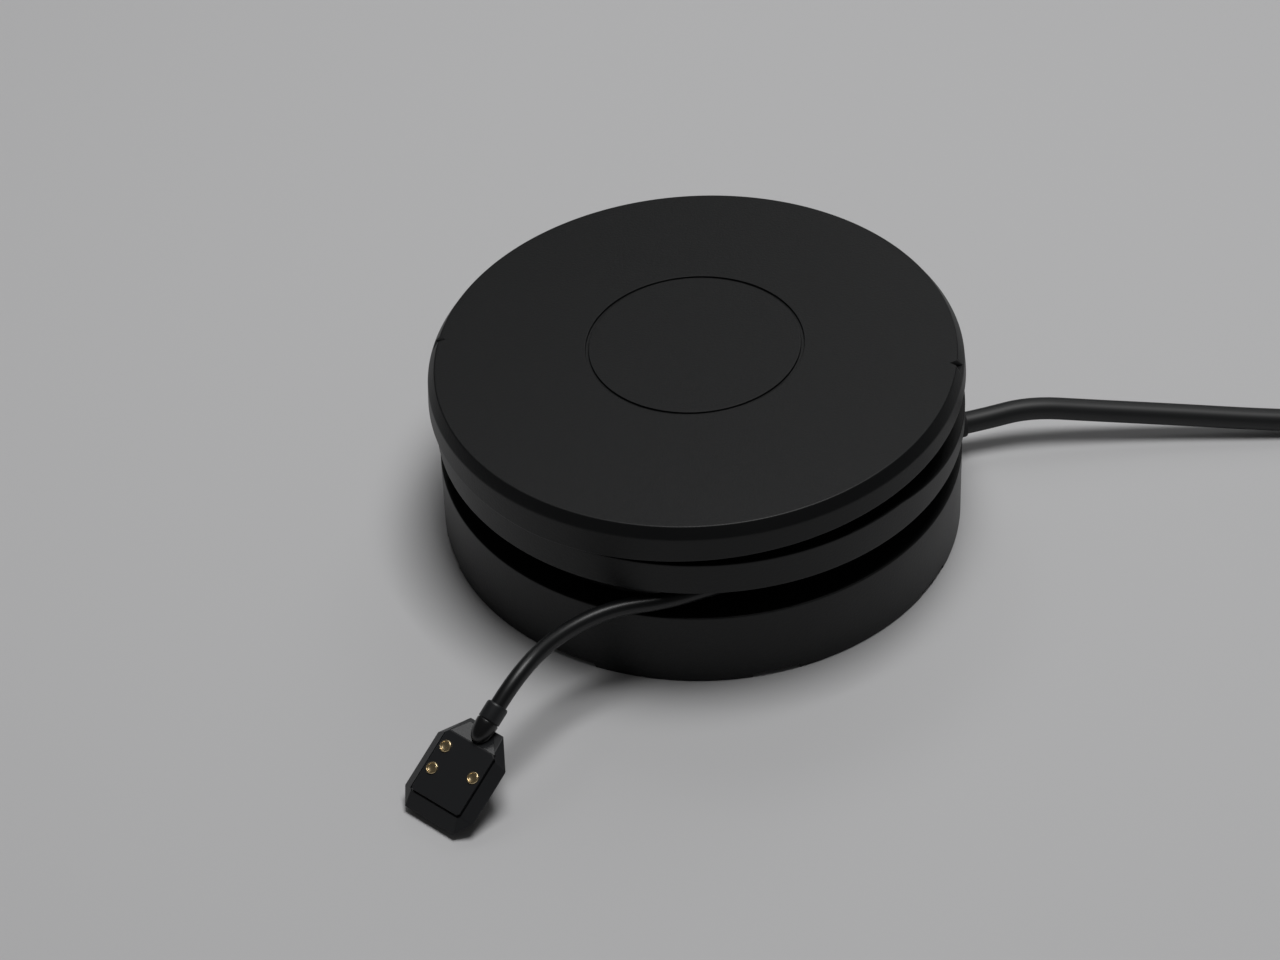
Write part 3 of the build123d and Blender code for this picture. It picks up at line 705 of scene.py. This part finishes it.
class PUCK_OT_tray(bpy.types.Operator):
    """Make the upper tray: the ring over the groove, its scallop and the lid's spigot"""

    bl_idname = "puck.tray"
    bl_label = "Tray"

    def execute(self, context):
        """Build the upper tray."""
        sizes = context.scene.puck_shell
        outer, low = sizes.tray_radius / MM, sizes.tray_bottom / MM
        high, edge = sizes.ring_top / MM, sizes.edge / MM
        spigot, spigot_top, spigot_wall, floor = 54.4, high + 3.2, 2, low + 2.2

        def outline(degrees):
            drop_out = scallop_at(sizes, outer, degrees)
            drop_in = scallop_at(sizes, spigot, degrees)
            return soften([
                (0, low, 0), (outer - EDGE_ROW, low, 0), (outer, low, edge),
                (outer, low + EDGE_ROW, 0), (outer, high - drop_out - EDGE_ROW, 0),
                (outer, high - drop_out, edge), (spigot, high - drop_in, 0.1),
                (spigot, spigot_top, 0.3), (spigot - spigot_wall, spigot_top, 0.3),
                (spigot - spigot_wall, floor, 0.3), (0, floor, 0),
            ])

        piece = finished("tray_ring", turned(outline, even_angles(COLUMN_COUNT), False),
                         SURFACES["shell_plastic"])
        bore_radius, bore_depth = 2.8, 1.2
        ring_radius, ring_start, seed = 40.6, 20, 3
        profile = [(0, -bore_depth), (bore_radius, -bore_depth), (bore_radius, 0.5), (0, 0.5)]
        bore = finished("bore", lathed(profile, ROUND_COUNT), SURFACES["shell_plastic"])
        cut_away(piece, ring_of_four("counterbores", bore, "shell_plastic", ring_radius,
                                     ring_start, floor, seed))
        piece.data.set_sharp_from_angle(angle=math.radians(30))
        dress(piece, "base", "shell_plastic", "upper_tray")
        screws = ring_of_four("tray_screw_set", screw(6.2), "screw_steel", ring_radius,
                              ring_start, floor - bore_depth, seed)
        dress(screws, "base", "screw_steel", "tray_screws")
        return {"FINISHED"}


def screw(shank):
    """Domed screw with a cross recess, its seat at height 0 and its threaded shank below."""
    root, crest, head = 1.28, 1.5, 2.6
    cross_half_width, cross_reach, cross_depth = 0.3, 1.4, 0.55

    def outline(degrees):
        turn = math.radians(degrees)
        points = [(0, -shank)]
        for step in range(int(shank)):
            points += [(root, -shank + step + 0.1), (crest, -shank + step + 0.45),
                       (root, -shank + step + 0.8)]
        points += [(crest, -0.1), (crest, 0), (head, 0), (head, 0.55), (head - 0.1, 0.68)]
        for step in range(23, -1, -1):
            radius = step * 0.1
            x, y = abs(radius * math.cos(turn)), abs(radius * math.sin(turn))
            inside = min(x, y) < cross_half_width and max(x, y) < cross_reach
            points.append((radius, 1.0 - radius * radius * 0.06 - cross_depth * inside))
        return points

    return finished("screw", turned(outline, even_angles(96), False), SURFACES["screw_steel"])


class PUCK_OT_underside(bpy.types.Operator):
    """Make what the puck stands on: screws and rubber pads in the base plate"""

    bl_idname = "puck.underside"
    bl_label = "Underside"

    def execute(self, context):
        """Build the base plate's screws and the pads."""
        screws = ring_of_four("base_screw_set", screw(9.0), "screw_steel", 50.6, 60,
                              PLATE_TOP, 8, math.pi)
        dress(screws, "base", "screw_steel", "base_screws")
        centre = self.pad("centre_pad", 9.0)
        outer = ring_of_four("outer_pads", self.pad("pad", 6.0), "pad_rubber", 40, 45, 0, 1)
        dress(outer, "base", "pad_rubber", "base_pads")
        dress(centre, "base", "pad_rubber")
        return {"FINISHED"}

    @staticmethod
    def pad(name, radius):
        """Round rubber pad with a shallow dished foot ring."""
        profile = soften([
            (0, 1.2, 0), (radius, 1.2, 0), (radius, 0.35, 0.1), (radius - 0.45, 0, 0.3),
            (radius - 1.4, 0, 0.2), (radius - 1.6, 0.2, 0.1), (0, 0.2, 0),
        ])
        return finished(name, lathed(profile, 72), SURFACES["pad_rubber"])


class PUCK_OT_lid(bpy.types.Operator):
    """Make the lid: a chamfered cap, cocked, with a rising slot under its right half"""

    bl_idname = "puck.lid"
    bl_label = "Lid"

    def execute(self, context):
        """Build the lid."""
        sizes = context.scene.puck_shell
        # The lid's top rises towards +x and the front, and it sits a little to the left.
        rise = Vector((0.0308, -0.0162))
        shift = -0.85
        up = Vector((-rise.x, -rise.y, 1)).normalized()
        along = Vector((1, 0, rise.x)).normalized()
        place = axes(along, up.cross(along), up,
                     (shift, 0, sizes.lid_height / MM + rise.x * shift))
        # The skirt ends on its seat, or at the slot's rising plane where that is higher.
        seat = sizes.ring_top / MM + 0.3
        slot_height, slot_rise_x, slot_rise_y = 35.9, 0.0523, -0.0054

        def skirt_end(radius, degrees):
            """Local height at which the skirt meets the seat or the rising slot."""
            height = -7.0
            for _ in range(4):
                spot = place @ polar(radius, degrees, height)
                goal = max(seat, slot_height + slot_rise_x * spot.x + slot_rise_y * spot.y)
                height += goal - spot.z
            return height

        # From the top: its edge, the chamfer's foot, and a wall that widens downwards.
        top_edge, chamfer_low, wall_top, wall_low = 56.8, 57.9, 58.35, -2.4
        draft = 0.55 / 8.1
        groove_in, groove_out, groove_depth, groove_shift = 23.2, 23.8, 0.5, 3.3

        def outline(degrees):
            low_out = skirt_end(58.66, degrees)
            low_in = skirt_end(56.4, degrees)
            foot = wall_top - (low_out - wall_low) * draft
            return soften([
                (0, 0, 0), (groove_in - 0.4, 0, 0), (groove_in - 0.08, 0, 0.06),
                (groove_in, -groove_depth, 0.06), (groove_out, -groove_depth, 0.06),
                (groove_out + 0.08, 0, 0.06), (groove_out + 0.4, 0, 0), (54.6, 0, 0),
                *dent(degrees), (wall_top, wall_low, 0.3),
                (wall_top + EDGE_ROW * draft, wall_low - EDGE_ROW, 0),
                (foot - 0.6 * draft, low_out + 0.6, 0), (foot, low_out, 0.25),
                (foot - 2.2, low_in, 0.25), (56.15, -2.5, 0.3), (55.5, -2.2, 0.1),
                (0, -2.2, 0),
            ])

        # A dent starts inside the edge, spreads outwards and has its floor at one depth.
        dent_root, dent_spread, dent_depth, arc_radius = 55.3, 0.63, 1.85, 57

        def dent(degrees):
            """Corner of the top, or the two ends of a V-shaped dent that runs into it."""
            away = min(abs((degrees - where + 180) % 360 - 180) for where in DENTS)
            mouth = dent_root + math.radians(away) * arc_radius / dent_spread
            if mouth >= chamfer_low:
                return [(top_edge - 0.4, 0, 0.1), (top_edge, 0, 0.25),
                        (chamfer_low, -1.7, 0.05), (chamfer_low + 0.1, -1.86, 0.05)]
            over = max(0.0, mouth - top_edge)
            return [(min(mouth, top_edge) - 0.02, 0, 0.01),
                    (mouth, over * wall_low / (wall_top - top_edge), 0.01),
                    (mouth + 0.02, -dent_depth, 0.01),
                    (chamfer_low + 0.09, -dent_depth, 0.01)]

        # Columns of points stand ten times closer across each dent.
        angles = even_angles(COLUMN_COUNT)
        for where in DENTS:
            angles = [angle for angle in angles if abs(angle - where) > 2.3]
            angles += [where + step * 0.1 for step in range(-22, 23)]

        def aside(radius, height):
            """Shift of the ring groove, which isn't concentric with the lid."""
            on_groove = 20 < radius < 25 and height > -1
            return Vector((0, groove_shift if on_groove else 0, 0))

        clad("lid_cap", turned(outline, sorted(angles), False, place, aside), "lid_cap",
             "shell_plastic", "lid")
        return {"FINISHED"}


# ---- contact head ----------------------------------------------------------------
def eight_sided(start, end, width, near, far):
    """Corners of an oblong with its four corners cut, in the head's plane."""
    half = width / 2
    return [
        (start, half - near[1]), (start + near[0], half), (end - far[0], half),
        (end, half - far[1]), (end, far[1] - half), (end - far[0], -half),
        (start + near[0], -half), (start, near[1] - half),
    ]


def lifted(corners, height, near_height=None):
    """Corners at a height, with the two next to the lead at a height of their own."""
    if near_height is None:
        near_height = height
    return [(*corner, near_height if index in (0, 7) else height)
            for index, corner in enumerate(corners)]


class PUCK_OT_head(bpy.types.Operator):
    """Make the eight-sided contact head with its sleeve, nose and gold cups"""

    bl_idname = "puck.head"
    bl_label = "Contact head"

    def execute(self, context):
        """Build the contact head."""
        near_cut, far_cut = (6.1, 4.9), (3.8, 2.7)
        slant, width, depth = 1.5, 18.8, 2.7
        widest = eight_sided(HEAD_START, HEAD_END, width, near_cut, far_cut)
        back = eight_sided(HEAD_START + slant, HEAD_END - slant, width - 2 * slant,
                           near_cut, far_cut)
        base = layered([lifted(back, -depth), lifted(widest, 0)])
        self.shell("head_back", base, 0.3, "head_base")
        self.shell("head_face", self.grooved(widest), 0.13, "head_top")
        self.ramp()
        self.bullet()
        self.cups()
        return {"FINISHED"}

    @staticmethod
    def grooved(widest):
        """Facets up to a rim, a groove inside three sides of it, and the face."""
        face_start, small_cut = HEAD_START + RAMP_LENGTH, (0.5, 0.5)
        rim_height, groove_floor = 1.85, 1.2
        face = eight_sided(face_start, HEAD_END - 3.8, 13.1, small_cut, small_cut)
        rim = eight_sided(face_start, HEAD_END - 3.4, 13.9, (0.9, 0.9), small_cut)
        rim = [face[0], *rim[1:7], face[7]]
        return layered([
            lifted(widest, 0), lifted(rim, rim_height, FACE_HEIGHT),
            lifted(rim, groove_floor, FACE_HEIGHT), lifted(face, groove_floor, FACE_HEIGHT),
            lifted(face, FACE_HEIGHT),
        ])

    @staticmethod
    def ramp():
        """Polished panel on the near facet, either side of the nose."""
        corners = [(-6.95, -5.8), (-10.6, -3.9), (-10.6, 2.6), (-6.95, 6.4)]
        rings = []
        for inset, shrink, lift in ((0, 1, -0.3), (0, 1, 0.03), (0.05, 0.985, 0.08)):
            ring = []
            for (x, y), inwards in zip(corners, (-inset, inset, inset, -inset)):
                along = x + inwards
                height = FACE_HEIGHT * (along - HEAD_START) / RAMP_LENGTH + lift
                ring.append((along, y * shrink, height))
            rings.append(ring)
        piece = finished("head_ramp", layered(rings), SURFACES["polished_nylon"], 10)
        dress(piece, "base", "head_plastic")

    @staticmethod
    def cups():
        """Three dished gold contacts set in the face."""
        bowl = [(1.35, -0.7, 0), (1.35, 0.16, 0.1), (1.22, 0.34, 0.08), (1.04, 0.35, 0.05),
                (0.95, 0.17, 0.02)]
        # The dish is part of a sphere, drawn from its edge to its middle in eight steps.
        dish_radius, sphere_radius, sphere_height = 0.9, 2.39, 2.41
        for step in range(9):
            radius = dish_radius * (1 - step / 8)
            bowl.append((radius, sphere_height - math.sqrt(sphere_radius ** 2 - radius ** 2), 0))
        cup = finished("cup", lathed(soften(bowl, 4), ROUND_COUNT), SURFACES["gold_contact"], 60)
        spots = bmesh.new()
        for along, across in ((7.9, -4.7), (13.2, -4.7), (10.7, 4.8)):
            spots.verts.new(on_head(HEAD_START + along, across, FACE_HEIGHT) * MM)
        mesh = bpy.data.meshes.new("cup_spots")
        spots.to_mesh(mesh)
        spots.free()
        facing = Matrix((HEAD_ALONG, HEAD_ACROSS, HEAD_NORMAL)).transposed()
        piece = grown("gold_cups", spot_nodes(), {
            "Piece": cup, "Turn": facing.to_euler(),
            "Material": SURFACES["gold_contact"]}, mesh)
        dress(piece, "base", "gold_contact", "head_cups")

    @staticmethod
    def shell(name, bm, edge, node):
        """Half of the head's shell with small rounded edges, in place of one solid."""
        piece = finished(name, bm, SURFACES["head_plastic"])
        round_edges(piece, edge, 3, 20)
        dress(piece, "base", "head_plastic", node)

    @staticmethod
    def bullet():
        """Sleeve and polished nose, turned about the lead's line."""
        place = axes(HEAD_NORMAL, HEAD_ALONG.cross(HEAD_NORMAL), HEAD_ALONG,
                     on_head(SLEEVE_START, SLEEVE_ACROSS, SLEEVE_UP))
        radius, neck, sleeve_end = 2.42, 2.2, 3.95
        sleeve = soften([(0, 0, 0), (neck, 0, 0.1), (radius, 0.35, 0.3), (radius, 3.7, 0.1),
                         (neck, 3.85, 0.05), (neck, sleeve_end, 0), (0, sleeve_end, 0)])
        clad("lead_collar", lathed(sleeve, ROUND_COUNT, place=place), "base",
             "head_plastic", "lead_sleeve")
        nose_start, nose_length = 4.15, 4.9
        nose = [(0, 3.9), (neck, 3.9), (2.38, 4.05)]
        for step in range(12):
            turn = math.radians(step * 7.5)
            nose.append((radius * math.cos(turn) ** 0.72,
                         nose_start + nose_length * math.sin(turn)))
        nose.append((0, nose_start + nose_length))
        clad("lead_nose", lathed(nose, ROUND_COUNT, place=place), "base", "nose_plastic",
             "head_nose")


class PUCK_OT_plug(bpy.types.Operator):
    """Make the supply cable's plug: a ribbed relief and a gripped case"""

    bl_idname = "puck.plug"
    bl_label = "Plug"

    def execute(self, context):
        """Build the relief and the case."""
        place = axes((1, 0, 0), (0, 0, 1), (0, -1, 0), RELIEF_START)
        bore, end = 2.52, 9.0
        points = [(bore, 0, 0), (3.0, 0, 0.2)]
        for rib in range(4):
            wide = 3.15 + 0.16 * rib
            along = 0.9 + 2.0 * rib
            points += [(wide, along, 0.1), (wide + 0.1, along + 1.1, 0.2),
                       (wide - 0.3, along + 1.25, 0.1), (wide - 0.3, along + 1.85, 0.1)]
        points += [(3.8, end, 0), (bore, end, 0)]
        clad("relief_sleeve", lathed(soften(points, 3), ROUND_COUNT, True, place), "base",
             "nose_plastic", "plug_relief")
        self.case()
        return {"FINISHED"}

    @staticmethod
    def case():
        """Case with rounded edges and a row of grip grooves cut into each flank."""
        bm = bmesh.new()
        middle = (CASE_LOW + CASE_HIGH) / 2
        size = Matrix.Diagonal((*(CASE_HIGH - CASE_LOW), 1))
        bmesh.ops.create_cube(bm, size=1.0, matrix=Matrix.Translation(middle) @ size)
        bmesh.ops.scale(bm, vec=(MM, MM, MM), verts=bm.verts)
        long_edges = [edge for edge in bm.edges
                      if abs(edge.verts[0].co.y - edge.verts[1].co.y) > 10 * MM]
        bmesh.ops.bevel(bm, geom=long_edges, offset=2.6 * MM, segments=6, profile=0.5,
                        affect="EDGES")
        piece = finished("plug_case", bm, SURFACES["shell_plastic"], 50)
        groove_count, groove_pitch, first_groove = 6, 1.8, -98.5
        groove_size = [extent * MM for extent in (0.8, 0.9, 6.0)]
        groove = bmesh.new()
        bmesh.ops.create_cube(groove, size=1.0, matrix=Matrix.Diagonal((*groove_size, 1)))
        for side in (CASE_LOW.x, CASE_HIGH.x):
            cut_away(piece, grown("grip_cuts", row_nodes(), {
                "Piece": finished("groove", groove.copy(), SURFACES["shell_plastic"]),
                "Count": groove_count, "Start": (side * MM, first_groove * MM, middle.z * MM),
                "Step": (0, -groove_pitch * MM, 0), "Turn": (0, 0, 0),
                "Material": SURFACES["shell_plastic"]}))
        groove.free()
        round_edges(piece, 0.25, 2, 40)
        dress(piece, "base", "shell_plastic", "plug_body")


# ---- solids that keep their shape --------------------------------------------------
class PUCK_OT_fittings(bpy.types.Operator):
    """Give every remaining solid its real surface"""

    bl_idname = "puck.fittings"
    bl_label = "Fittings"

    def execute(self, context):
        """Assign materials to the frame's own nodes."""
        for name, node in frame["nodes"].items():
            node.data.materials.clear()
            node.data.materials.append(SURFACES[SLOT_OF[name]])
        return {"FINISHED"}


class PUCK_PT_panel(bpy.types.Panel):
    """Sidebar list of the puck's pieces"""

    bl_idname = "PUCK_PT_panel"
    bl_label = "Power puck"
    bl_space_type = "VIEW_3D"
    bl_region_type = "UI"
    bl_category = "Puck"

    def draw(self, context):
        """List the operators and the settings."""
        for operator in OPERATORS:
            self.layout.operator(operator.bl_idname)
        for group in (context.scene.puck_shell, context.scene.puck_leads,
                      context.scene.puck_stage):
            for key in group.__annotations__:
                self.layout.prop(group, key)


GROUPS = (
    ("puck_shell", PuckShellSettings),
    ("puck_leads", PuckLeadSettings),
    ("puck_stage", PuckStageSettings),
)
OPERATORS = (PUCK_OT_stage, PUCK_OT_cords, PUCK_OT_fittings, PUCK_OT_base,
             PUCK_OT_underside, PUCK_OT_tray, PUCK_OT_lid, PUCK_OT_head, PUCK_OT_plug,
             PUCK_OT_limp)


def register():
    """Register the settings, the operators and the panel."""
    for name, group in GROUPS:
        bpy.utils.register_class(group)
        setattr(bpy.types.Scene, name, bpy.props.PointerProperty(type=group))
    for item in (*OPERATORS, PUCK_PT_panel):
        bpy.utils.register_class(item)


def unregister():
    """Undo register."""
    for item in reversed((*OPERATORS, PUCK_PT_panel)):
        bpy.utils.unregister_class(item)
    for name, group in reversed(GROUPS):
        delattr(bpy.types.Scene, name)
        bpy.utils.unregister_class(group)


def main():
    """Build the stage and every piece."""
    register()
    bpy.ops.puck.stage()
    bpy.ops.puck.cords()
    bpy.ops.puck.fittings()
    bpy.ops.puck.base()
    bpy.ops.puck.underside()
    bpy.ops.puck.tray()
    bpy.ops.puck.lid()
    bpy.ops.puck.head()
    bpy.ops.puck.plug()
    bpy.ops.puck.limp()


if __name__ == "__main__":
    main()
